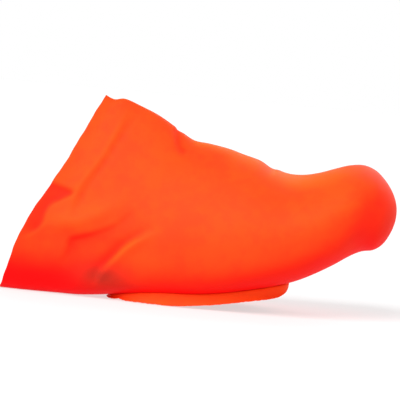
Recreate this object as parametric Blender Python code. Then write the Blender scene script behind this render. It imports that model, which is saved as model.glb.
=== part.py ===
"""Toe cover for a cycling shoe: a stretch latex sleeve that is pulled over the front half of the shoe.

It is a thin moulded shell with the shape of the shoe's last. It is open at the back, along a slanting
edge, where the shoe goes in, and underneath, where the shoe's cleat comes through. The shell is one
moulding, and a thicker rim is bonded round the cleat opening.

Metres. +X points to the toe, +Z up, and the cover stands empty on the floor at Z = 0.
"""

import math
from collections import namedtuple

import bmesh
import bpy
import numpy as np

# The cover's outside, standing empty
LENGTH = 0.200  # rear corner of the underside to the tip of the toe
INSTEP_HEIGHT = 0.1032  # floor to the top corner of the rear edge
TOE_CROWN = 0.079  # floor to the highest point of the toe
TOE_SPRING = 0.033  # how far the underside of the toe rises over the cleat opening
BALL_WIDTH = 0.086
MOUTH_WIDTH = 0.044  # widest part of the rear edge, which lies half slack
MOUTH_BOW = 0.004  # how far the rear edge swells backwards between its two corners
SETTLE = 0.0011  # how far the slack underside is pressed flat by the floor

# The latex
WALL = 0.0008
SEAT_GAP = 0.0003  # between the shell and the rim that is bonded to it

# The cleat opening in the underside, and its rim
OPENING_LENGTH = 0.0825
OPENING_WIDTH = 0.046
OPENING_MIDDLE = 0.514  # where the opening's middle lies, as a share of LENGTH
OPENING_SQUARENESS = 2.6  # 2 is an ellipse, and more has fuller ends
FLANGE_WIDTH = 0.0042
FLANGE_THICKNESS = 0.0010
LIP_THICKNESS = 0.0016
LIP_FLARE = 0.0038  # how far the lip leans out on its way down
LIP_HEIGHT = 0.0020  # how far the lip holds the flange off the floor
LIP_FRONT_HEIGHT = 0.0033  # the same towards the front end, where the lip is clear of the floor
LIP_FRONT_CUT = 0.0026  # how much of that height is rounded away at the very front
LIP_FRONT_FLARE = 0.55  # how far the lip leans out at the very front, as a share of LIP_FLARE
LIP_FRONT_ROUNDED = 0.2  # how much of the way from the floor to the front end is rounded away
LIP_ON_FLOOR = 0.57  # how much of the lip lies on the floor, as a share of OPENING_LENGTH from the back end
LIP_SWEEP = 0.75  # the power of the lower edge's rise to the front end: 1 is straight, and less is hollow

# How finely the curved forms are faceted
STEPS_PER_SECTION = 2
GIRTH_STEPS = 48
CURVE_POINTS = 40  # per quarter of a section, before it is divided evenly

LATEX_ORANGE = (0.90, 0.085, 0.018, 1.0)
RIM_ORANGE = (0.86, 0.075, 0.016, 1.0)

# A section is a closed curve from its foot, on the middle line of the underside, round both sides to its
# crown, on the middle line of the top. Sections fan out from the slanting rear edge to the upright toe.
# foot_x and crown_x are shares of LENGTH. The foot's height is lift times the height of the rim plus spring
# times TOE_SPRING. crown_z is a share of INSTEP_HEIGHT in the first table and of TOE_CROWN in the second.
# width is where the section's width lies between MOUTH_WIDTH, 0, and BALL_WIDTH, 1, in the first table, and
# a share of BALL_WIDTH in the second. hip is how far up the section its widest point lies. flat and peak
# are the powers of the rounding under and over that point: 2 is an ellipse, more is fuller, and less is
# pinched. bow is a share of MOUTH_BOW.
Section = namedtuple("Section", "foot_x lift spring crown_x crown_z width hip flat peak bow")
INSTEP_SECTIONS = (
    Section(0.0000, 0.10, 0.000, 0.227, 1.000, 0.00, 0.34, 2.3, 1.22, 1.0),
    Section(0.0450, 0.00, 0.000, 0.251, 0.983, 0.02, 0.34, 2.6, 1.26, 0.9),
    Section(0.0950, 0.00, 0.000, 0.280, 0.989, 0.07, 0.34, 2.8, 1.30, 0.7),
    Section(0.1500, 0.00, 0.000, 0.328, 0.955, 0.15, 0.34, 2.9, 1.38, 0.5),
    Section(0.2000, 0.02, 0.000, 0.375, 0.914, 0.25, 0.34, 3.0, 1.47, 0.3),
    Section(0.2500, 0.26, 0.000, 0.420, 0.864, 0.36, 0.34, 3.1, 1.56, 0.2),
    Section(0.3000, 0.60, 0.000, 0.463, 0.815, 0.48, 0.34, 3.1, 1.65, 0.1),
    Section(0.3550, 0.82, 0.000, 0.505, 0.804, 0.60, 0.34, 3.1, 1.74, 0.0),
    Section(0.4150, 0.95, 0.010, 0.550, 0.789, 0.72, 0.34, 3.1, 1.82, 0.0),
    Section(0.4750, 1.00, 0.033, 0.595, 0.765, 0.83, 0.34, 3.1, 1.90, 0.0),
    Section(0.5350, 1.00, 0.078, 0.635, 0.745, 0.92, 0.35, 3.1, 1.97, 0.0),
    Section(0.5950, 1.00, 0.145, 0.675, 0.713, 0.98, 0.36, 3.0, 2.03, 0.0),
)
TOE_SECTIONS = (
    Section(0.6550, 1.00, 0.232, 0.715, 0.901, 1.000, 0.38, 2.9, 2.08, 0.0),
    Section(0.7100, 1.00, 0.322, 0.755, 0.901, 0.998, 0.40, 2.8, 2.12, 0.0),
    Section(0.7600, 1.00, 0.424, 0.795, 0.924, 0.986, 0.42, 2.7, 2.16, 0.0),
    Section(0.8050, 1.00, 0.555, 0.835, 0.961, 0.958, 0.44, 2.6, 2.18, 0.0),
    Section(0.8475, 1.00, 0.705, 0.870, 0.991, 0.908, 0.46, 2.5, 2.20, 0.0),
    Section(0.8850, 1.00, 0.860, 0.905, 1.000, 0.832, 0.48, 2.4, 2.20, 0.0),
    Section(0.9175, 1.00, 0.955, 0.9365, 0.973, 0.732, 0.49, 2.3, 2.18, 0.0),
    Section(0.9465, 1.00, 0.990, 0.9615, 0.920, 0.608, 0.50, 2.3, 2.14, 0.0),
    Section(0.9700, 1.00, 1.091, 0.9800, 0.861, 0.458, 0.50, 2.2, 2.10, 0.0),
    Section(0.9865, 1.00, 1.257, 0.9920, 0.805, 0.304, 0.50, 2.1, 2.05, 0.0),
    Section(0.9965, 1.00, 1.421, 0.9985, 0.751, 0.150, 0.50, 2.0, 2.00, 0.0),
    Section(1.0000, 1.00, 1.557, 1.0000, 0.6925, 0.000, 0.50, 2.0, 2.00, 0.0),
)

# The rim's cross-section, anticlockwise when seen from the opening's back end with the shoe above.
# Each point lies out from the edge of the opening by flare shares of the lip's lean there plus thickness shares
# of LIP_THICKNESS, and down from the flange's underside, at 0, to the lip's lower edge, at 1.
LipPoint = namedtuple("LipPoint", "flare thickness down")
LIP_OUTSIDE = (
    LipPoint(0.00, 1.0, 0.00),
    LipPoint(0.20, 1.0, 0.40),
    LipPoint(0.80, 1.0, 0.80),
    LipPoint(1.00, 0.9, 1.00),
)
LIP_INSIDE = (
    LipPoint(1.00, 0.1, 1.00),
    LipPoint(0.60, 0.0, 0.75),
    LipPoint(0.10, 0.0, 0.40),
)


OPENING_BACK = OPENING_MIDDLE * LENGTH - OPENING_LENGTH / 2
RIM_HEIGHT = SEAT_GAP + FLANGE_THICKNESS + LIP_HEIGHT


def section_sizes():
    """One row of real sizes for each section: foot x, z, crown x, z, half width, hip, flat, peak, bow."""
    rows = []
    for section in INSTEP_SECTIONS:
        width = MOUTH_WIDTH + (BALL_WIDTH - MOUTH_WIDTH) * section.width
        rows.append((section, section.crown_z * INSTEP_HEIGHT, width))
    for section in TOE_SECTIONS:
        rows.append((section, section.crown_z * TOE_CROWN, section.width * BALL_WIDTH))
    return np.array(
        [
            (
                section.foot_x * LENGTH,
                section.lift * RIM_HEIGHT + section.spring * TOE_SPRING,
                section.crown_x * LENGTH,
                crown_z,
                width / 2,
                section.hip,
                section.flat,
                section.peak,
                section.bow * MOUTH_BOW,
            )
            for section, crown_z, width in rows
        ]
    )


SIZES = section_sizes()
LAST = len(SIZES) - 1


def sizes_at(station):
    """The sizes at a station between two sections, on a smooth curve through all of them."""
    start = min(int(station), LAST - 1)
    share = station - start
    before, this, after = SIZES[max(start - 1, 0)], SIZES[start], SIZES[start + 1]
    beyond = SIZES[min(start + 2, LAST)]
    swing = 2 * before - 5 * this + 4 * after - beyond
    turn = 3 * (this - after) + beyond - before
    return this + 0.5 * share * (after - before + share * (swing + share * turn))


def section_curve(station):
    """Points of one whole section, and each point's share of the girth from the foot."""
    foot_x, foot_z, crown_x, crown_z, half, hip, flat, peak, bow = sizes_at(station)
    turn = np.linspace(0, math.pi / 2, CURVE_POINTS)
    lower_out = np.sin(turn) ** (2 / flat)
    lower_up = hip * (1 - np.cos(turn) ** (2 / flat))
    upper_out = np.cos(turn) ** (2 / peak)
    upper_up = hip + (1 - hip) * np.sin(turn) ** (2 / peak)
    out = half * np.concatenate([lower_out, upper_out[1:]])
    up = np.concatenate([lower_up, upper_up[1:]])
    swell = bow * np.sin(math.pi * up**0.6) ** 3
    x = foot_x + (crown_x - foot_x) * up - swell
    # The slack underside is set down on the floor: the foot sinks a little, and the floor presses it flat.
    sink = SETTLE * (1 - up) ** 4 * max(0.0, 1 - foot_x / OPENING_BACK)
    z = np.maximum(foot_z + (crown_z - foot_z) * up - sink, 0.0)
    side = np.column_stack([x, -out, z])
    other = side[-2::-1] * (1, -1, 1)
    points = np.vstack([side, other])
    run = np.concatenate([[0], np.cumsum(np.linalg.norm(np.diff(points, axis=0), axis=1))])
    return points, run


def surface(station, turn):
    """The point of the shell's outside at a station, a share of a whole turn from the foot."""
    points, run = section_curve(station)
    along = (turn % 1.0) * run[-1]
    return np.array([np.interp(along, run, points[:, axis]) for axis in range(3)])


def girth(station):
    return section_curve(station)[1][-1]


FOOT_LINE = np.array([sizes_at(station)[0] for station in np.linspace(0, LAST, 20 * LAST + 1)])


def station_over(foot_x):
    """The station whose foot lies at this distance from the rear corner."""
    return float(np.interp(foot_x, FOOT_LINE, np.linspace(0, LAST, len(FOOT_LINE))))


def opening_place(angle, out=0.0):
    """Station and turn of a point on the opening's outline, moved outwards by a distance."""
    along, across = math.cos(angle), math.sin(angle)
    power = 2 / OPENING_SQUARENESS
    along = math.copysign(abs(along) ** power, along)
    across = math.copysign(abs(across) ** power, across)
    half_length, half_width = OPENING_LENGTH / 2 + out, OPENING_WIDTH / 2 + out
    station = station_over(OPENING_BACK + OPENING_LENGTH / 2 + half_length * along)
    return station, half_width * across / girth(station)


def patch_round_opening():
    """The part of the grid that gives way to rings round the opening.

    It is given by its first and last station step, and by the girth steps from its middle to its sides.
    """
    margin = FLANGE_WIDTH * 1.5
    first = station_over(OPENING_BACK - margin) * STEPS_PER_SECTION
    last = station_over(OPENING_BACK + OPENING_LENGTH + margin) * STEPS_PER_SECTION
    shortest = min(girth(first / STEPS_PER_SECTION), girth(last / STEPS_PER_SECTION))
    side = (OPENING_WIDTH / 2 + margin) / shortest * GIRTH_STEPS
    return math.floor(first), math.ceil(last), math.ceil(side)


def patch_border(first, last, side):
    """The grid places round the patch, in order, as (station step, girth step)."""
    back = [(first, step) for step in range(side, -side, -1)]
    left = [(step, -side) for step in range(first, last)]
    front = [(last, step) for step in range(-side, side)]
    right = [(step, side) for step in range(last, first, -1)]
    return back + left + front + right


def border_angle(place, first, last, side):
    """The angle, about the middle of the patch, of one place on its border."""
    along = (2 * place[0] - first - last) / (last - first)
    across = place[1] / side
    return math.atan2(across, along)


def shell_mesh():
    """The outside of the shell as one sheet of quads: open at the rear edge and at the cleat opening."""
    mesh = bmesh.new()
    steps = LAST * STEPS_PER_SECTION
    first, last, side = patch_round_opening()
    grid = {}

    def inside_patch(step, turn):
        signed = (turn + GIRTH_STEPS // 2) % GIRTH_STEPS - GIRTH_STEPS // 2
        return first < step < last and abs(signed) < side

    for step in range(steps):
        for turn in range(GIRTH_STEPS):
            if not inside_patch(step, turn):
                place = surface(step / STEPS_PER_SECTION, turn / GIRTH_STEPS)
                grid[step, turn] = mesh.verts.new(place)
    tip = mesh.verts.new(surface(LAST, 0))

    for step in range(steps - 1):
        for turn in range(GIRTH_STEPS):
            after = (turn + 1) % GIRTH_STEPS
            signed = (turn + GIRTH_STEPS // 2) % GIRTH_STEPS - GIRTH_STEPS // 2
            if first <= step < last and -side <= signed < side:
                continue
            corners = (step, turn), (step + 1, turn), (step + 1, after), (step, after)
            mesh.faces.new([grid[corner] for corner in corners])
    for turn in range(GIRTH_STEPS):
        after = (turn + 1) % GIRTH_STEPS
        mesh.faces.new([grid[steps - 1, turn], tip, grid[steps - 1, after]])

    border = patch_border(first, last, side)
    rings = [[grid[step, turn % GIRTH_STEPS] for step, turn in border]]
    for share, out in ((0.5, FLANGE_WIDTH), (1.0, FLANGE_WIDTH), (1.0, 0.0)):
        row = []
        for step, turn in border:
            angle = border_angle((step, turn), first, last, side)
            edge_station, edge_turn = opening_place(angle, out)
            station = step / STEPS_PER_SECTION * (1 - share) + edge_station * share
            row.append(mesh.verts.new(surface(station, turn / GIRTH_STEPS * (1 - share) + edge_turn * share)))
        rings.append(row)
    for outer, inner in zip(rings, rings[1:]):
        for here in range(len(border)):
            after = (here + 1) % len(border)
            mesh.faces.new([outer[here], outer[after], inner[after], inner[here]])
    return mesh


def thicken(mesh):
    """Gives the sheet its wall: a second sheet inside the first, joined to it along the open edges."""
    mesh.normal_update()
    outer_faces = list(mesh.faces)
    edges = [edge for edge in mesh.edges if edge.is_boundary]
    inner = {}
    for vertex in list(mesh.verts):
        normal = vertex.normal
        spread = min(max(normal.dot(face.normal), 0.6) for face in vertex.link_faces)
        inner[vertex] = mesh.verts.new(vertex.co - normal * (WALL / spread**0.5))
    for face in outer_faces:
        mesh.faces.new([inner[vertex] for vertex in reversed(face.verts)])
    for edge in edges:
        loop = next(corner for corner in edge.link_loops if corner.face in outer_faces)
        start, end = loop.vert, loop.link_loop_next.vert
        mesh.faces.new([end, start, inner[start], inner[end]])


def rim_mesh():
    """The rim round the cleat opening: a flange under the shell, and a lip that leans out as it goes down."""
    mesh = bmesh.new()
    patch = patch_round_opening()
    front = OPENING_BACK + OPENING_LENGTH
    floor_end = OPENING_BACK + LIP_ON_FLOOR * OPENING_LENGTH
    front_rise = surface(*opening_place(0.0))[2] - SEAT_GAP - FLANGE_THICKNESS - LIP_FRONT_HEIGHT
    loops = []
    for place in patch_border(*patch):
        angle = border_angle(place, *patch)

        def under_shell(out, down=0.0, angle=angle):
            spot = surface(*opening_place(angle, out))
            return spot * (1, 1, 0) + (0, 0, max(spot[2] - SEAT_GAP - down, 0.0))

        top = under_shell(0.0)
        neck = under_shell(0.0, FLANGE_THICKNESS)[2]
        forward = max(0.0, (top[0] - floor_end) / (front - floor_end))
        rounding = max(0.0, 1 - (1 - forward) / LIP_FRONT_ROUNDED) ** 2
        lowest = front_rise * forward**LIP_SWEEP + LIP_FRONT_CUT * rounding
        flare = LIP_FLARE * (1 - (1 - LIP_FRONT_FLARE) * rounding)
        loop = [top, under_shell(FLANGE_WIDTH), under_shell(FLANGE_WIDTH, FLANGE_THICKNESS)]
        for point in LIP_OUTSIDE + LIP_INSIDE:
            spot = under_shell(point.flare * flare + point.thickness * LIP_THICKNESS, FLANGE_THICKNESS)
            start = spot[2] if point.down == 0 else neck
            loop.append(spot * (1, 1, 0) + (0, 0, start + (lowest - start) * point.down))
        loops.append([mesh.verts.new(spot) for spot in loop])
    for here, loop in enumerate(loops):
        after = loops[(here + 1) % len(loops)]
        for point in range(len(loop)):
            follower = (point + 1) % len(loop)
            mesh.faces.new([loop[point], loop[follower], after[follower], after[point]])
    bmesh.ops.recalc_face_normals(mesh, faces=mesh.faces)
    return mesh


def rubber(name, colour):
    material = bpy.data.materials.new(name)
    material.use_nodes = True
    shader = material.node_tree.nodes["Principled BSDF"]
    shader.inputs["Base Color"].default_value = colour
    shader.inputs["Roughness"].default_value = 0.5
    shader.inputs["Metallic"].default_value = 0.0
    return material


def add_piece(name, mesh, material, shift):
    """Makes an object of the mesh, moved so that the row's origin is under the middle of the cover."""
    data = bpy.data.meshes.new(name)
    bmesh.ops.translate(mesh, verts=mesh.verts, vec=(shift, 0, 0))
    mesh.to_mesh(data)
    mesh.free()
    data.materials.append(material)
    data.shade_smooth()
    piece = bpy.data.objects.new(name, data)
    bpy.context.scene.collection.objects.link(piece)
    return piece


def build():
    for old in list(bpy.data.objects):
        bpy.data.objects.remove(old)
    shell = shell_mesh()
    ends = [vertex.co.x for vertex in shell.verts]
    shift = -(min(ends) + max(ends)) / 2
    thicken(shell)
    add_piece("upper", shell, rubber("latex", LATEX_ORANGE), shift)
    add_piece("cleat_rim", rim_mesh(), rubber("rim latex", RIM_ORANGE), shift)


build()
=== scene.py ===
import math
from collections import namedtuple

import bpy
import numpy as np
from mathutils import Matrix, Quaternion, Vector, noise


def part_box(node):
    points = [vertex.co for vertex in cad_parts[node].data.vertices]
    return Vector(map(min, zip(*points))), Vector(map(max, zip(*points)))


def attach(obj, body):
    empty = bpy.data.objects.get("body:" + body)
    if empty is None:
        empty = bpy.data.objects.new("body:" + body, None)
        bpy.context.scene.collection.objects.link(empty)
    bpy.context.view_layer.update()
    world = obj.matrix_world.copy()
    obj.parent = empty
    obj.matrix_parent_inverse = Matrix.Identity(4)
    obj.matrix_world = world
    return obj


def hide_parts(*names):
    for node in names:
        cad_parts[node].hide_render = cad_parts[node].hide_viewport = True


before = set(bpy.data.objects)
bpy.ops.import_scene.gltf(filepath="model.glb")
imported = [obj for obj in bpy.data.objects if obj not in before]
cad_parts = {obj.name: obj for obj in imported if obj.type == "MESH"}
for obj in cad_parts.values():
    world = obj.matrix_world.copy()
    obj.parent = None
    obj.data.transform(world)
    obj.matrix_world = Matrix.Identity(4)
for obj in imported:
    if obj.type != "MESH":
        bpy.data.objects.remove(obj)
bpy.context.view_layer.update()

# The sleeve.
# One dip-moulded shell of stretch latex, 0.8 mm thick, in the shape of a shoe's front half. It is slack and
# creased behind, and tight over the toe. The shoe goes in at the slanting rear edge, its cleat underneath.

LENGTH = 0.200
INSTEP_HEIGHT = 0.1032
TOE_CROWN = 0.079
TOE_SPRING = 0.033
BALL_WIDTH = 0.086
MOUTH_WIDTH = 0.044
MOUTH_BOW = 0.004  # how far the rear edge bows to the rear
BOW_PLACE = 0.6  # the power that moves the bow down from half way up
SETTLE = 0.0011  # how far the slack underside would sink at the rear edge, if the floor let it
WALL = 0.0008
RIM_HEIGHT = 0.0033  # how far the cleat opening's rim holds the underside off the floor
MM = 0.001
REAR_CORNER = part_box("upper")[1].x - LENGTH

OPENING_LENGTH = 0.0825
OPENING_WIDTH = 0.046
OPENING_BACK = 0.514 * LENGTH - OPENING_LENGTH / 2
OPENING_SQUARENESS = 2.6
SEAT = 0.0042  # how wide a band round the opening lies on the rim
OPENING_MARGIN = 1.5 * SEAT  # how far from the opening the grid gives way to rings

CURVE_POINTS = 60  # on each side of a section, under its widest point and over it
STATION_STEPS = 8
GIRTH_STEPS = 216
OPENING_RINGS = 7
SEAT_RINGS = 3

# Each section is a closed curve from its foot, under the sleeve, round both sides to its crown. foot_x and
# crown_x are shares of LENGTH. The foot's height is lift times RIM_HEIGHT plus spring times TOE_SPRING.
# crown_z is a share of INSTEP_HEIGHT, and in the toe of TOE_CROWN. width runs from MOUTH_WIDTH at 0 to
# BALL_WIDTH at 1, and in the toe is a share of BALL_WIDTH. hip is how far up the widest point is. flat and
# peak are the powers of the rounding under and over it, of which 2 makes an ellipse. bow is a share of
# MOUTH_BOW.
Section = namedtuple("Section", "foot_x lift spring crown_x crown_z width hip flat peak bow")
INSTEP_SECTIONS = (
    Section(0.0000, 0.10, 0.000, 0.227, 1.000, 0.00, 0.34, 2.3, 1.22, 1.0),
    Section(0.0450, 0.00, 0.000, 0.251, 0.983, 0.02, 0.34, 2.6, 1.26, 0.9),
    Section(0.0950, 0.00, 0.000, 0.280, 0.989, 0.07, 0.34, 2.8, 1.30, 0.7),
    Section(0.1500, 0.00, 0.000, 0.328, 0.955, 0.15, 0.34, 2.9, 1.38, 0.5),
    Section(0.2000, 0.02, 0.000, 0.375, 0.914, 0.25, 0.34, 3.0, 1.47, 0.3),
    Section(0.2500, 0.26, 0.000, 0.420, 0.864, 0.36, 0.34, 3.1, 1.56, 0.2),
    Section(0.3000, 0.60, 0.000, 0.463, 0.815, 0.48, 0.34, 3.1, 1.65, 0.1),
    Section(0.3550, 0.82, 0.000, 0.505, 0.804, 0.60, 0.34, 3.1, 1.74, 0.0),
    Section(0.4150, 0.95, 0.010, 0.550, 0.789, 0.72, 0.34, 3.1, 1.82, 0.0),
    Section(0.4750, 1.00, 0.033, 0.595, 0.765, 0.83, 0.34, 3.1, 1.90, 0.0),
    Section(0.5350, 1.00, 0.078, 0.635, 0.745, 0.92, 0.35, 3.1, 1.97, 0.0),
    Section(0.5950, 1.00, 0.145, 0.675, 0.713, 0.98, 0.36, 3.0, 2.03, 0.0),
)
TOE_SECTIONS = (
    Section(0.6550, 1.00, 0.232, 0.715, 0.901, 1.000, 0.38, 2.9, 2.08, 0.0),
    Section(0.7100, 1.00, 0.322, 0.755, 0.901, 0.998, 0.40, 2.8, 2.12, 0.0),
    Section(0.7600, 1.00, 0.424, 0.795, 0.924, 0.986, 0.42, 2.7, 2.16, 0.0),
    Section(0.8050, 1.00, 0.555, 0.835, 0.961, 0.958, 0.44, 2.6, 2.18, 0.0),
    Section(0.8475, 1.00, 0.705, 0.870, 0.991, 0.908, 0.46, 2.5, 2.20, 0.0),
    Section(0.8850, 1.00, 0.860, 0.905, 1.000, 0.832, 0.48, 2.4, 2.20, 0.0),
    Section(0.9175, 1.00, 0.955, 0.9365, 0.973, 0.732, 0.49, 2.3, 2.18, 0.0),
    Section(0.9465, 1.00, 0.990, 0.9615, 0.920, 0.608, 0.50, 2.3, 2.14, 0.0),
    Section(0.9700, 1.00, 1.091, 0.9800, 0.861, 0.458, 0.50, 2.2, 2.10, 0.0),
    Section(0.9865, 1.00, 1.257, 0.9920, 0.805, 0.304, 0.50, 2.1, 2.05, 0.0),
    Section(0.9965, 1.00, 1.421, 0.9985, 0.751, 0.150, 0.50, 2.0, 2.00, 0.0),
    Section(1.0000, 1.00, 1.557, 1.0000, 0.6925, 0.000, 0.50, 2.0, 2.00, 0.0),
)


def section_row(section, height, width):
    foot_z = section.lift * RIM_HEIGHT + section.spring * TOE_SPRING
    ends = (section.foot_x * LENGTH, foot_z, section.crown_x * LENGTH, section.crown_z * height)
    return (*ends, width / 2, section.hip, section.flat, section.peak, section.bow * MOUTH_BOW)


SIZES = np.array(
    [
        section_row(section, INSTEP_HEIGHT, MOUTH_WIDTH + (BALL_WIDTH - MOUTH_WIDTH) * section.width)
        for section in INSTEP_SECTIONS
    ]
    + [section_row(section, TOE_CROWN, BALL_WIDTH * section.width) for section in TOE_SECTIONS]
)
LAST = len(SIZES) - 1


def smooth_between(before, this, after, beyond, share):
    """The place at a share of the way from this to after, on a smooth curve through all four."""
    swing = 2 * before - 5 * this + 4 * after - beyond
    turn = 3 * (this - after) + beyond - before
    return this + 0.5 * share * (after - before + share * (swing + share * turn))


def sizes_at(station):
    start = min(int(station), LAST - 1)
    before, this, after = SIZES[max(start - 1, 0)], SIZES[start], SIZES[start + 1]
    return smooth_between(before, this, after, SIZES[min(start + 2, LAST)], station - start)


def section_curve(station):
    """A whole section as points from its foot, and how far along the curve each of them is."""
    foot_x, foot_z, crown_x, crown_z, half, hip, flat, peak, bow = sizes_at(station)
    turn = np.linspace(0, math.pi / 2, CURVE_POINTS)
    out = half * np.concatenate([np.sin(turn) ** (2 / flat), np.cos(turn[1:]) ** (2 / peak)])
    lower = hip * (1 - np.cos(turn) ** (2 / flat))
    up = np.concatenate([lower, hip + (1 - hip) * np.sin(turn[1:]) ** (2 / peak)])
    x = REAR_CORNER + foot_x + (crown_x - foot_x) * up - bow * np.sin(math.pi * up**BOW_PLACE) ** 3
    sink = SETTLE * (1 - up) ** 4 * max(0.0, 1 - foot_x / OPENING_BACK)
    z = np.maximum(foot_z + (crown_z - foot_z) * up - sink, 0.0)
    side = np.column_stack([x, -out, z])
    points = np.vstack([side, side[-2::-1] * (1, -1, 1)])
    run = np.concatenate([[0], np.cumsum(np.linalg.norm(np.diff(points, axis=0), axis=1))])
    return points, run


def on_sleeve(station, turns):
    """Points of the sleeve's outside at one station, at shares of a whole turn from the foot."""
    points, run = section_curve(station)
    along = np.mod(turns, 1.0) * run[-1]
    return np.column_stack([np.interp(along, run, points[:, axis]) for axis in range(3)])


FOOT_STATIONS = np.linspace(0, LAST, 20 * LAST + 1)
FOOT_LINE = np.array([sizes_at(station)[0] for station in FOOT_STATIONS])


def station_over(foot_x):
    return float(np.interp(foot_x, FOOT_LINE, FOOT_STATIONS))


def opening_place(angle, out=0.0):
    """Station and turn of a point on the cleat opening's outline, moved outwards by a distance."""
    power = 2 / OPENING_SQUARENESS
    along = math.copysign(abs(math.cos(angle)) ** power, math.cos(angle))
    across = math.copysign(abs(math.sin(angle)) ** power, math.sin(angle))
    station = station_over(OPENING_BACK + OPENING_LENGTH / 2 + (OPENING_LENGTH / 2 + out) * along)
    return station, (OPENING_WIDTH / 2 + out) * across / section_curve(station)[1][-1]


def sleeve_sheet():
    """The outside as one sheet of quads, as points and faces, with rings of them round the cleat opening."""
    first = math.floor(station_over(OPENING_BACK - OPENING_MARGIN) * STATION_STEPS)
    last = math.ceil(station_over(OPENING_BACK + OPENING_LENGTH + OPENING_MARGIN) * STATION_STEPS)
    shortest = min(section_curve(step / STATION_STEPS)[1][-1] for step in (first, last))
    side = math.ceil((OPENING_WIDTH / 2 + OPENING_MARGIN) / shortest * GIRTH_STEPS)
    steps = LAST * STATION_STEPS
    points, faces, grid = [], [], {}

    def signed(turn):
        return (turn + GIRTH_STEPS // 2) % GIRTH_STEPS - GIRTH_STEPS // 2

    for step in range(steps):
        row = on_sleeve(step / STATION_STEPS, np.arange(GIRTH_STEPS) / GIRTH_STEPS)
        for turn in range(GIRTH_STEPS):
            if not (first < step < last and abs(signed(turn)) < side):
                grid[step, turn] = len(points)
                points.append(row[turn])
    tip = len(points)
    points.append(on_sleeve(LAST, np.zeros(1))[0])
    for turn in range(GIRTH_STEPS):
        after = (turn + 1) % GIRTH_STEPS
        for step in range(steps - 1):
            if not (first <= step < last and -side <= signed(turn) < side):
                corners = (step, turn), (step + 1, turn), (step + 1, after), (step, after)
                faces.append([grid[corner] for corner in corners])
        faces.append([grid[steps - 1, turn], tip, grid[steps - 1, after]])

    border = [(first, step) for step in range(side, -side, -1)]
    border += [(step, -side) for step in range(first, last)]
    border += [(last, step) for step in range(-side, side)]
    border += [(step, side) for step in range(last, first, -1)]
    rings = [[grid[step, turn % GIRTH_STEPS] for step, turn in border]]
    shares = [((ring + 1) / OPENING_RINGS, SEAT) for ring in range(OPENING_RINGS)]
    shares += [(1.0, SEAT * (1 - (ring + 1) / SEAT_RINGS)) for ring in range(SEAT_RINGS)]
    for share, out in shares:
        ring = []
        for step, turn in border:
            angle = math.atan2(turn / side, (2 * step - first - last) / (last - first))
            edge_station, edge_turn = opening_place(angle, out)
            station = step / STATION_STEPS * (1 - share) + edge_station * share
            place = turn / GIRTH_STEPS * (1 - share) + edge_turn * share
            ring.append(len(points))
            points.append(on_sleeve(station, np.array([place]))[0])
        rings.append(ring)
    for outer, inner in zip(rings, rings[1:]):
        for here in range(len(border)):
            after = (here + 1) % len(border)
            faces.append([outer[here], outer[after], inner[after], inner[here]])
    mouth = [grid[0, turn] for turn in range(GIRTH_STEPS)]
    return np.array(points), faces, mouth, rings[-1]


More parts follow.
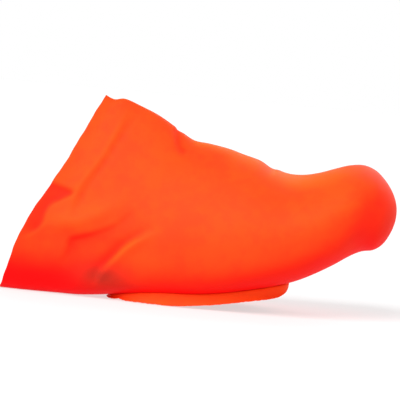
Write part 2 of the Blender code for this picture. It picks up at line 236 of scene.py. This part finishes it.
# The folds and creases of the slack latex. Each runs along a path of x and z, in millimetres
# from the rear corner on the floor, and grows over a share of the path, grow. side is -1 for the side to the
# camera, 1 for the other and 0 for both. depth is in millimetres, inwards when negative. tone is how much
# redder the latex is there, or lighter when negative. width is how far the slope reaches. lean makes one side
# of it sharp: 1 keeps the slope on the left of the path, -1 on its right, and 0 on both.
# The tone of a fold is painted shade, redder latex down its crease, and painted highlight, lighter latex on
# its swelling, where negative.
Fold = namedtuple("Fold", "side depth tone width lean grow path")
FOLDS = (
    # The long soft ridge down from the top corner, and the line before it
    Fold(-1, 0.45, -0.35, 1.8, 0, 0.2,
         ((60, 101), (53.1, 85.6), (47.7, 73.4), (41.8, 63.8), (37.3, 56.7), (34.4, 49.2), (33.5, 40))),
    Fold(-1, -0.40, 0.14, 1.6, 0, 0.2,
         ((64, 97), (56.5, 84), (50.5, 72), (44.4, 61.5), (40, 53), (37.2, 45), (36.3, 37))),
    # The dent at the rear edge, with its sharp front end
    Fold(-1, -0.8, 0.68, 17, -1, 0.05,
         ((18, 57.5), (34, 53), (29.7, 49.3), (24, 45.5), (21.5, 41.4), (20.1, 35.5), (16, 31), (9, 27))),
    # The two troughs that run up and forwards from the lower corner, with the swellings beside them
    Fold(-1, -1.6, 0.60, 9.0, 1, 0.6,
         ((68, 49), (62, 44), (56, 38.2), (47.1, 33.8), (40.1, 31.2), (35.2, 29.2), (33.6, 23), (30, 16))),
    Fold(-1, 1.1, -0.40, 5.0, 0, 0.4,
         ((64, 53), (55, 47.5), (46, 41.5), (38, 38), (31, 37), (27, 31))),
    Fold(-1, -1.2, 0.50, 3.4, -1, 0.4,
         ((78, 39.5), (72.6, 36.4), (63.4, 29.6), (57.4, 22.5), (53.3, 17.5), (50.9, 14), (50, 9), (49, 5))),
    Fold(-1, -0.6, 0.26, 7.0, -1, 0.5,
         ((63.4, 29.6), (57.4, 22.5), (53.3, 17.5), (50.9, 14), (50, 9), (49, 5))),
    Fold(-1, 1.2, -0.70, 3.4, 1, 0.4,
         ((80, 38.5), (72.9, 35), (64.4, 28.7), (58.4, 21.6), (54.2, 16.6), (51.9, 13.1), (51, 8))),
    # The kinks in the top line, over the foot's bend and where the toe begins
    Fold(0, -1.0, 0.46, 2.2, 0, 0.1,
         ((83, 90), (85, 84.5), (86.4, 80.5), (90, 77))),
    Fold(-1, -0.6, 0.16, 5.0, 0, 0.2,
         ((87, 80), (93, 75.8), (103, 75.5), (114, 77))),
    Fold(0, -0.7, 0.16, 2.6, 0, 0.1,
         ((132, 80), (133.5, 75), (136.5, 71.5))),
    # The hollow where the side turns under, over the rim and on towards the toe, and the one round the toe
    Fold(-1, -0.9, 0.50, 5.5, 0, 0.3,
         ((104, 6), (128, 11), (147, 16.5), (158, 22.5), (166.6, 27), (177, 31))),
    Fold(-1, -0.7, 0.26, 7.0, 0, 0.2,
         ((189, 68), (187, 60), (184, 50.7), (180, 41.5), (174, 35))),
    # The saddle behind the toe, not moved, only lighter with painted highlight
    Fold(0, 0.0, -0.70, 4.0, 0, 0.3,
         ((126, 78), (136, 73), (150, 70.5), (162, 72), (174, 76))),
    # The far side is slack in the same places, but not in the same way
    Fold(1, 0.5, -0.35, 2.2, 0, 0.2,
         ((57, 100), (52, 88), (44, 74), (39, 62), (37, 50), (38, 40))),
    Fold(1, -0.4, 0.16, 1.8, 0, 0.2,
         ((61, 96), (56, 83), (48.5, 70), (43, 58), (41, 48), (42, 40))),
    Fold(1, -0.8, 0.42, 14, -1, 0.1,
         ((20, 64), (29, 60), (27, 54), (25, 47), (19, 40), (12, 36))),
    Fold(1, -1.6, 0.50, 8.0, 1, 0.5,
         ((78, 46), (64, 41), (53, 35), (44, 30), (36, 22), (31, 13))),
    Fold(1, 1.2, -0.40, 4.6, 0, 0.3,
         ((70, 50), (59, 45), (47, 39), (38, 33), (29, 27))),
    Fold(1, -1.5, 0.48, 5.0, -1, 0.4,
         ((80, 36), (70, 30), (62, 24), (57, 16), (54, 8))),
    Fold(1, 1.0, -0.40, 3.4, 1, 0.4,
         ((82, 34), (72, 28), (64, 22), (59, 14), (56, 7))),
    Fold(1, -0.8, 0.45, 5.0, 0, 0.3,
         ((108, 8), (126, 11), (144, 16), (157, 23), (170, 30))),
)


FOLD_EDGE = 0.8  # how sharp the cut side of a leaning fold is, in millimetres
FOLD_END = 0.2  # the last share of each path, over which its fold dies away
UNDERSIDE, SIDE = -0.97, -0.67  # how far down the surface faces on the underside, and where the sides begin
SIDES_MEET = 6 * MM  # the strip of the crest in which the folds of one side give way to the other's


def smooth_path(path, steps=8):
    """The points of a path, with more between them on a smooth curve."""
    points = np.array(path, float)
    ends = np.vstack([2 * points[0] - points[1], points, 2 * points[-1] - points[-2]])
    found = []
    for before, this, after, beyond in zip(ends, ends[1:], ends[2:], ends[3:]):
        found += [smooth_between(before, this, after, beyond, share) for share in np.arange(steps) / steps]
    return np.vstack([found, points[-1:]])


def fold_share(fold, spots):
    """How much each spot of the side view is in a fold, from 0 to 1."""
    path = smooth_path(fold.path)
    runs = np.diff(path, axis=0)
    lengths = np.linalg.norm(runs, axis=1)
    starts = np.concatenate([[0], np.cumsum(lengths)])
    best = np.full(len(spots), 1e9)
    left = np.zeros(len(spots))
    place = np.zeros(len(spots))
    for start, run, length, before in zip(path, runs, lengths, starts):
        away = spots - start
        share = np.clip(away @ run / length**2, 0, 1)
        gap = away - share[:, None] * run
        distance = np.linalg.norm(gap, axis=1)
        nearer = distance < best
        best = np.where(nearer, distance, best)
        left = np.where(nearer, np.sign(run[0] * gap[:, 1] - run[1] * gap[:, 0]), left)
        place = np.where(nearer, (before + share * length) / starts[-1], place)
    shape = np.exp(-((best / fold.width) ** 2))
    if fold.lean:
        shape *= 0.5 + 0.5 * np.tanh(fold.lean * left * best / FOLD_EDGE)
    return shape * np.clip(place / fold.grow, 0, 1) * np.clip((1 - place) / FOLD_END, 0, 1)


def clear_of_underside(normals):
    """0 where the underside lies on the floor or on the rim, and 1 on the sides and the top."""
    return np.clip((normals[:, 2] - UNDERSIDE) / (SIDE - UNDERSIDE), 0, 1)


def folds_at(points, normals):
    """How far the folds move each point of the sleeve's outside, in millimetres, and their painted shade or
    highlight there.
    """
    spots = (points[:, [0, 2]] - (REAR_CORNER, 0)) / MM
    near = np.clip(0.5 - points[:, 1] / SIDES_MEET, 0, 1)
    depth, tone = np.zeros(len(points)), np.zeros(len(points))
    for fold in FOLDS:
        share = fold_share(fold, spots) * clear_of_underside(normals)
        share *= 1.0 if fold.side == 0 else near if fold.side < 0 else 1 - near
        depth += fold.depth * share
        tone += fold.tone * share
    return depth, tone


# The slow unevenness of dipped latex, in two sizes. scale is waves to a metre, more or less, and tight and
# slack are its depths in millimetres in the tight toe and at the slack rear end.
Wave = namedtuple("Wave", "scale shift tight slack")
WAVES = (
    Wave(38, (0, 0, 0), 0.25, 0.70),
    Wave(95, (7, 3, 1), 0.06, 0.22),
)
SLACK_START, SLACK_FULL = 88, 28  # where the latex starts to be slack, from the rear corner, in millimetres
# The cut rear edge wavers. height is in millimetres, and turns is waves in a whole turn.
EdgeWave = namedtuple("EdgeWave", "height turns start")
EDGE_WAVES = (
    EdgeWave(0.22, 5, 1),
    EdgeWave(0.13, 13, 2),
    EdgeWave(0.06, 31, 0),
)
EDGE_ROWS = 5  # how many rows of the sheet follow the waver


def unevenness(points, normals):
    from_corner = (points[:, 0] - REAR_CORNER) / MM
    slack = np.clip((SLACK_START - from_corner) / (SLACK_START - SLACK_FULL), 0, 1)
    depth = np.zeros(len(points))
    for wave in WAVES:
        values = [noise.noise(Vector(point) * wave.scale + Vector(wave.shift)) for point in points]
        depth += np.array(values) * (wave.tight + (wave.slack - wave.tight) * slack)
    return depth * clear_of_underside(normals)


def edge_waver(turn):
    return sum(wave.height * math.sin(wave.turns * turn + wave.start) for wave in EDGE_WAVES)


def sheet_normals(points, faces):
    mesh = bpy.data.meshes.new("measure")
    mesh.from_pydata(points.tolist(), [], faces)
    mesh.update()
    normals = np.zeros(len(points) * 3, np.float32)
    mesh.vertices.foreach_get("normal", normals)
    bpy.data.meshes.remove(mesh)
    return normals.reshape(-1, 3).astype(float)


points, faces, mouth, opening = sleeve_sheet()
for turn, vertex in enumerate(mouth):
    angle = 2 * math.pi * turn / GIRTH_STEPS
    for row in range(EDGE_ROWS):
        away = points[vertex + (row + 1) * GIRTH_STEPS] - points[vertex + row * GIRTH_STEPS]
        shift = edge_waver(angle) * MM * (1 - row / EDGE_ROWS) ** 2
        points[vertex + row * GIRTH_STEPS] -= away / np.linalg.norm(away) * shift
normals = sheet_normals(points, faces)
depths, painted_lights = folds_at(points, normals)
outside = points + normals * ((depths + unevenness(points, normals)) * MM)[:, None]
outside[:, 2] = np.maximum(outside[:, 2], 0.0)
inside = outside - sheet_normals(outside, faces) * WALL
count = len(outside)
faces += [[vertex + count for vertex in reversed(face)] for face in faces]
for here, after in zip(mouth, mouth[1:] + mouth[:1]):
    faces.append([here, after, after + count, here + count])
for here, after in zip(opening, opening[1:] + opening[:1]):
    faces.append([after, here, here + count, after + count])
sleeve_mesh = bpy.data.meshes.new("toe_sleeve")
sleeve_mesh.from_pydata(np.vstack([outside, inside]).tolist(), [], faces)
sleeve_mesh.update()
sleeve_mesh.shade_smooth()
# A darker, duller spot low on the side to the camera, as x and z
DARK_SPOT_PLACE = (REAR_CORNER + 0.0528, 0.0120)
DARK_SPOT_REACH = (0.0140, 0.0068)
dark_spot_reach = (points[:, [0, 2]] - DARK_SPOT_PLACE) / DARK_SPOT_REACH
darkened = np.exp(-(dark_spot_reach**2).sum(axis=1)) * (points[:, 1] < 0)
# The folds' painted shade and painted highlight go to the material as an attribute, and so does the darker
# spot.
for name, values in (("tone", painted_lights), ("dark_spot", darkened)):
    attribute = sleeve_mesh.attributes.new(name, "FLOAT", "POINT")
    attribute.data.foreach_set("value", np.concatenate([values, values]).astype(np.float32))
sleeve = bpy.data.objects.new("toe_sleeve", sleeve_mesh)
bpy.context.scene.collection.objects.link(sleeve)


class Shade:
    """A socket of a material that works in arithmetic, so that shader maths reads as an expression."""

    def __init__(self, tree, socket):
        self.tree = tree
        self.socket = socket

    @classmethod
    def node(cls, tree, kind, settings=None, inputs=None, output=0):
        made = tree.nodes.new(kind)
        for name, value in (settings or {}).items():
            setattr(made, name, value)
        for name, value in (inputs or {}).items():
            if isinstance(value, Shade):
                tree.links.new(value.socket, made.inputs[name])
            else:
                made.inputs[name].default_value = value
        return cls(tree, made.outputs[output])

    def maths(self, operation, first, second=0.0):
        return Shade.node(self.tree, "ShaderNodeMath", {"operation": operation}, {0: first, 1: second})

    def __add__(self, other):
        return self.maths("ADD", self, other)

    __radd__ = __add__

    def __mul__(self, other):
        return self.maths("MULTIPLY", self, other)

    __rmul__ = __mul__

    def __sub__(self, other):
        return self.maths("SUBTRACT", self, other)

    def __rsub__(self, other):
        return self.maths("SUBTRACT", other, self)

    def fit(self, low, high, smooth=True):
        """0 below low and 1 above high, or the other way round where low is the larger."""
        kind = {"interpolation_type": "SMOOTHSTEP" if smooth else "LINEAR"}
        inputs = {"Value": self, "From Min": low, "From Max": high}
        return Shade.node(self.tree, "ShaderNodeMapRange", kind, inputs)

    def blend(self, first, second):
        """The colour that this mask picks, from first at 0 to second at 1."""
        inputs = {0: self, 6: first, 7: second}
        return Shade.node(self.tree, "ShaderNodeMix", {"data_type": "RGBA"}, inputs, 2)


ORANGE = (0.950, 0.0620, 0.0075, 1)
DULL = (0.930, 0.0500, 0.0080, 1)
# Painted highlight on the swellings beside the folds
FOLD_HIGHLIGHT = (0.970, 0.0820, 0.0060, 1)
# Painted highlight along the up-facing crest
CREST_HIGHLIGHT = (0.970, 0.0980, 0.0050, 1)
# Painted shade, a deep red, in creases, on the underside, low at the rear and over the toe
PAINTED_SHADE = (0.900, 0.0020, 0.0040, 1)
DARK_SPOT = (0.470, 0.0230, 0.0120, 1)
SHEEN = 0.035
ROUGHNESS = 0.54
# The unevenness of the colour and the surface, in three sizes
Speckle = namedtuple("Speckle", "scale detail offset")
CLOUD = Speckle(28.0, 2.0, (0.0, 0.0, 0.0))
MOTTLE = Speckle(160.0, 3.0, (0.3, 0.1, 0.2))
GRAIN = Speckle(1500.0, 2.0, (0.1, 0.4, 0.0))
# Where the colour changes, each as the place where the change starts and the place where it is full. A facing
# is 1 for latex that faces up and -1 for latex that faces down. The other places are metres from the rear
# corner or the floor.
# Painted highlight where the crest faces up, fading out towards the toe
HIGHLIGHT_FACING = (0.80, 1.00)
HIGHLIGHT_END = (0.182, 0.160)
# Painted shade on latex that faces down
UNDERSIDE_SHADE_FACING = (0.38, -0.94)
# Painted shade low on the rear part, full below 9 mm and within 36 mm of the rear corner
REAR_FOOT_HEIGHT = (0.025, 0.009)
REAR_FOOT_END = (0.070, 0.036)
REAR_FOOT_SHADE = 0.92
# Painted shade over the toe end
TOE_START = (0.172, 0.196)
TOE_SHADE = 0.38


def latex(name, underside_shade):
    """Satin latex: an even orange, redder with painted shade where creased, turned under, low at the rear and
    at the toe, lighter with painted highlight on its crest.
    """
    material = bpy.data.materials.new(name)
    material.use_nodes = True
    tree = material.node_tree
    shader = tree.nodes["Principled BSDF"]
    shader.inputs["Specular IOR Level"].default_value = SHEEN
    shader.inputs["Metallic"].default_value = 0.0
    place = Shade.node(tree, "ShaderNodeTexCoord", output=3)

    def speckled(speckle):
        moved = Shade.node(tree, "ShaderNodeVectorMath", {"operation": "ADD"}, {0: place, 1: speckle.offset})
        inputs = {"Vector": moved, "Scale": speckle.scale, "Detail": speckle.detail, "Roughness": 0.55}
        return Shade.node(tree, "ShaderNodeTexNoise", None, inputs)

    def attribute(name):
        return Shade.node(tree, "ShaderNodeAttribute", {"attribute_name": name}, output=2)

    normal = Shade.node(tree, "ShaderNodeNewGeometry", output=1)
    facing = Shade.node(tree, "ShaderNodeSeparateXYZ", None, {0: normal}, 2)
    along = Shade.node(tree, "ShaderNodeSeparateXYZ", None, {0: place}, 0) - REAR_CORNER
    height = Shade.node(tree, "ShaderNodeSeparateXYZ", None, {0: place}, 2)
    cloud, mottle, grain = speckled(CLOUD), speckled(MOTTLE), speckled(GRAIN)
    # The folds' painted light: painted shade, redder, in the creases, and painted highlight, lighter, on the
    # swellings
    fold = attribute("tone")

    base = (cloud * 0.45 + mottle * 0.45 + grain * 0.10).fit(0.38, 0.62).blend(DULL, ORANGE)
    base = (0.0 - fold).fit(0.0, 1.0, False).blend(base, FOLD_HIGHLIGHT)
    # Painted highlight on the up-facing crest
    crest = facing.fit(*HIGHLIGHT_FACING) * along.fit(*HIGHLIGHT_END)
    base = crest.blend(base, CREST_HIGHLIGHT)
    # Painted shade where the latex faces down
    under = (facing + (cloud - 0.5) * 0.2).fit(*UNDERSIDE_SHADE_FACING, False) * underside_shade
    # Painted shade low on the rear part, near the floor
    rear = height.fit(*REAR_FOOT_HEIGHT) * along.fit(*REAR_FOOT_END) * REAR_FOOT_SHADE
    # Painted shade over the toe end
    toe = along.fit(*TOE_START) * TOE_SHADE
    # Where no painted shade falls: not facing down, not low at the rear, not on the toe and not in a crease
    clear = (1.0 - under) * (1.0 - rear) * (1.0 - toe) * (1.0 - fold.fit(0.0, 1.0, False))
    base = clear.blend(PAINTED_SHADE, base)
    # A darker, duller spot low on the side to the camera
    base = attribute("dark_spot").blend(base, DARK_SPOT)
    tree.links.new(base.socket, shader.inputs["Base Color"])
    rough = ROUGHNESS + (cloud - 0.5) * 0.10 + (mottle - 0.5) * 0.12
    tree.links.new(rough.socket, shader.inputs["Roughness"])
    relief = mottle * 0.6 + grain * 0.12
    inputs = {"Strength": 0.30, "Distance": 0.0006, "Height": relief}
    bump = Shade.node(tree, "ShaderNodeBump", None, inputs)
    tree.links.new(bump.socket, shader.inputs["Normal"])
    return material


# The sleeve has painted shade on its underside, the rim none.
sleeve_mesh.materials.append(latex("orange latex", 0.97))
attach(sleeve, "root")
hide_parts("upper")

# The rim of the cleat opening.
# A thicker ring of the same latex, bonded to the underside. A flange lies flat against the sleeve, and a lip
# hangs from it and leans out, so that it grips the shoe's sole. The maker trims its lower edge by hand.

SEAT_GAP = 0.0001
FLANGE_WIDTH = SEAT
FLANGE_THICKNESS = 0.0010
LIP_THICKNESS = 0.0016
LIP_FLARE = 0.0038  # how far the lip leans out on its way down
LIP_SWAY = 0.16  # how unevenly it does, as a share of that
LIP_BACK_FLARE = 0.30  # how much further it leans out at the back end, as a share of that
LIP_FRONT_FLARE = 0.55  # how far it leans out at the very front, as a share of that
LIP_FRONT_CUT = 0.0026  # how much of its height is rounded away at the very front
LIP_FRONT_ROUNDED = 0.0071  # how much of the front end, along the cover, is rounded
RIM_SPOKES = 480
# The lip's outside goes from the flange's edge down to the lip's lower corner, and its inside back up to the
# edge of the opening. out is a share of the way to the corner on the outside, and of the lip's lean on the
# inside.
FacePoint = namedtuple("FacePoint", "out down")
LIP_OUTSIDE = (
    FacePoint(0.00, 0.02),
    FacePoint(0.10, 0.12),
    FacePoint(0.16, 0.26),
    FacePoint(0.24, 0.42),
    FacePoint(0.38, 0.58),
    FacePoint(0.60, 0.73),
    FacePoint(0.84, 0.86),
    FacePoint(0.98, 0.94),
)
LipPoint = namedtuple("LipPoint", "out thickness down")
LIP_INSIDE = (
    LipPoint(1.00, 0.86, 0.99),
    LipPoint(1.00, 0.60, 1.00),
    LipPoint(0.98, 0.30, 1.00),
    LipPoint(0.94, 0.12, 0.96),
    LipPoint(0.80, 0.03, 0.88),
    LipPoint(0.60, 0.00, 0.76),
    LipPoint(0.36, 0.00, 0.60),
    LipPoint(0.16, 0.00, 0.42),
    LipPoint(0.04, 0.00, 0.22),
)
FLANGE_SHARES = (0.0, 0.25, 0.5, 0.75, 0.92)
# The hand-trimmed lower edge, as x from the rear corner and the heights on both sides, in millimetres. On the
# side to the camera it has a nick near its back end, and leaves the floor sooner.
TRIM_X = (56, 64.6, 66.2, 69.5, 92.8, 105.5, 117.2, 123.3, 134.5, 144.1)
TRIM_NEAR = (0.0, 0.0, 0.9, 0.1, 0.3, 2.1, 4.3, 5.5, 7.7, 9.9)
TRIM_FAR = (0.0, 0.0, 0.0, 0.0, 0.0, 0.3, 2.4, 4.3, 7.5, 9.9)
# The unevenness of the cut, in millimetres
Snip = namedtuple("Snip", "height turns seed")
SNIPS = (Snip(0.22, 6, 4), Snip(0.20, 26, 9))
TRIMS_MEET = 20 * MM  # the strip at the ends of the rim in which one side's trim gives way to the other's


def ragged(angle, turns, seed):
    return noise.noise(Vector((math.cos(angle) * turns, math.sin(angle) * turns, seed)))


def rim_loop(angle):
    def under_sleeve(out, down=0.0):
        station, place = opening_place(angle, out)
        spot = on_sleeve(station, np.array([place]))[0]
        return np.array((spot[0], spot[1], max(spot[2] - SEAT_GAP - down, 0.0)))

    top = under_sleeve(0.0)
    neck = under_sleeve(0.0, FLANGE_THICKNESS)[2]
    front = REAR_CORNER + OPENING_BACK + OPENING_LENGTH
    rounding = max(0.0, 1 - (front - top[0]) / LIP_FRONT_ROUNDED) ** 2
    near = min(max(0.5 - top[1] / TRIMS_MEET, 0.0), 1.0)
    edge_x = (top[0] - REAR_CORNER) / MM
    trimmed = near * np.interp(edge_x, TRIM_X, TRIM_NEAR) + (1 - near) * np.interp(edge_x, TRIM_X, TRIM_FAR)
    trimmed += sum(snip.height * ragged(angle, snip.turns, snip.seed) for snip in SNIPS)
    lowest = trimmed * MM + LIP_FRONT_CUT * rounding
    backward = max(0.0, -math.cos(angle) - 0.5) * 2
    sway = 1 + LIP_SWAY * ragged(angle, 2.5, 2) + LIP_BACK_FLARE * backward
    lean = LIP_FLARE * sway * (1 - (1 - LIP_FRONT_FLARE) * rounding)
    corner = lean + LIP_THICKNESS
    outline = [(FLANGE_WIDTH + (corner - FLANGE_WIDTH) * point.out, point.down) for point in LIP_OUTSIDE]
    outline += [(point.out * lean + point.thickness * LIP_THICKNESS, point.down) for point in LIP_INSIDE]
    loop = [under_sleeve(FLANGE_WIDTH * share) for share in FLANGE_SHARES]
    for out, down in outline:
        spot = under_sleeve(out, FLANGE_THICKNESS * min(1.0, 0.2 + 4 * down))
        start = spot[2] * (1 - down) + neck * down
        loop.append(np.array((spot[0], spot[1], max(start + (lowest - start) * down, 0.0))))
    return loop


loops = [rim_loop(2 * math.pi * spoke / RIM_SPOKES) for spoke in range(RIM_SPOKES)]
around = len(loops[0])
rim_faces = []
for spoke in range(RIM_SPOKES):
    here, after = spoke * around, (spoke + 1) % RIM_SPOKES * around
    for point in range(around):
        follower = (point + 1) % around
        rim_faces.append([here + point, here + follower, after + follower, after + point])
rim_mesh = bpy.data.meshes.new("cleat_opening_rim")
rim_mesh.from_pydata([tuple(spot) for loop in loops for spot in loop], [], rim_faces)
rim_mesh.update()
rim_mesh.shade_smooth()
rim = bpy.data.objects.new("cleat_opening_rim", rim_mesh)
bpy.context.scene.collection.objects.link(rim)
rim_mesh.materials.append(latex("rim latex", 0.0))
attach(rim, "root")
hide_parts("cleat_rim")

# The floor, the light and the camera.
# A white floor that runs out of sight, a bright even room, and a large soft light over the cover. The camera
# looks level with the floor at the cover's side, and is rolled so that the toe points down a little.

FLOOR_SIZE = 30
FLOOR_DROP = 0.0002
FLOOR_GREY = (0.32, 0.32, 0.32, 1)
FLOOR_GLOW = 0.60
WHITE = (1, 1, 1, 1)
CEILING_GREY = (0.32, 0.32, 0.32, 1)
WALLS_END = (0.62, 0.20)  # how far up the ceiling's grey is full, and the walls' white

bpy.ops.mesh.primitive_plane_add(size=FLOOR_SIZE, location=(0, 0, -FLOOR_DROP))
floor = bpy.context.object
floor.name = "floor"
paint = bpy.data.materials.new("floor")
paint.use_nodes = True
surface = paint.node_tree.nodes["Principled BSDF"]
surface.inputs["Base Color"].default_value = FLOOR_GREY
surface.inputs["Roughness"].default_value = 0.9
surface.inputs["Specular IOR Level"].default_value = 0.0
surface.inputs["Emission Color"].default_value = WHITE
surface.inputs["Emission Strength"].default_value = FLOOR_GLOW
floor.data.materials.append(paint)

world = bpy.data.worlds.new("room")
bpy.context.scene.world = world
world.use_nodes = True
room = world.node_tree
sky = Shade.node(room, "ShaderNodeTexCoord", output=0)
climb = Shade.node(room, "ShaderNodeSeparateXYZ", None, {0: sky}, 2)
walls = climb.fit(*WALLS_END).blend(CEILING_GREY, WHITE)
room.links.new(walls.socket, room.nodes["Background"].inputs["Color"])
room.nodes["Background"].inputs["Strength"].default_value = 1.0


def soft_sun(name, direction, strength, spread):
    light = bpy.data.lights.new(name, "SUN")
    light.energy = strength
    light.angle = math.radians(spread)
    lamp = bpy.data.objects.new(name, light)
    lamp.rotation_euler = Vector(direction).to_track_quat("Z", "Y").to_euler()
    bpy.context.scene.collection.objects.link(lamp)


soft_sun("key", direction=(-0.42, -0.74, 0.78), strength=3.6, spread=36)
soft_sun("fill", direction=(0.55, 1.00, 0.85), strength=1.5, spread=50)

AIM = Vector((-0.0014, 0.0, 0.0535))
DISTANCE = 1.15
ELEVATION = math.radians(3.0)
ROLL = math.radians(5.2)
FRAME_WIDTH = 0.2061
SENSOR_WIDTH = 36
camera_data = bpy.data.cameras.new("camera")
camera_data.sensor_width = SENSOR_WIDTH
camera_data.lens = SENSOR_WIDTH * DISTANCE / FRAME_WIDTH
camera_data.clip_end = 100
camera = bpy.data.objects.new("camera", camera_data)
bpy.context.scene.collection.objects.link(camera)
away = Vector((0, -math.cos(ELEVATION), math.sin(ELEVATION)))
camera.location = AIM + away * DISTANCE
camera.rotation_mode = "QUATERNION"
camera.rotation_quaternion = (-away).to_track_quat("-Z", "Y") @ Quaternion((0, 0, 1), ROLL)
bpy.context.scene.camera = camera
bpy.context.scene.view_settings.view_transform = "Standard"
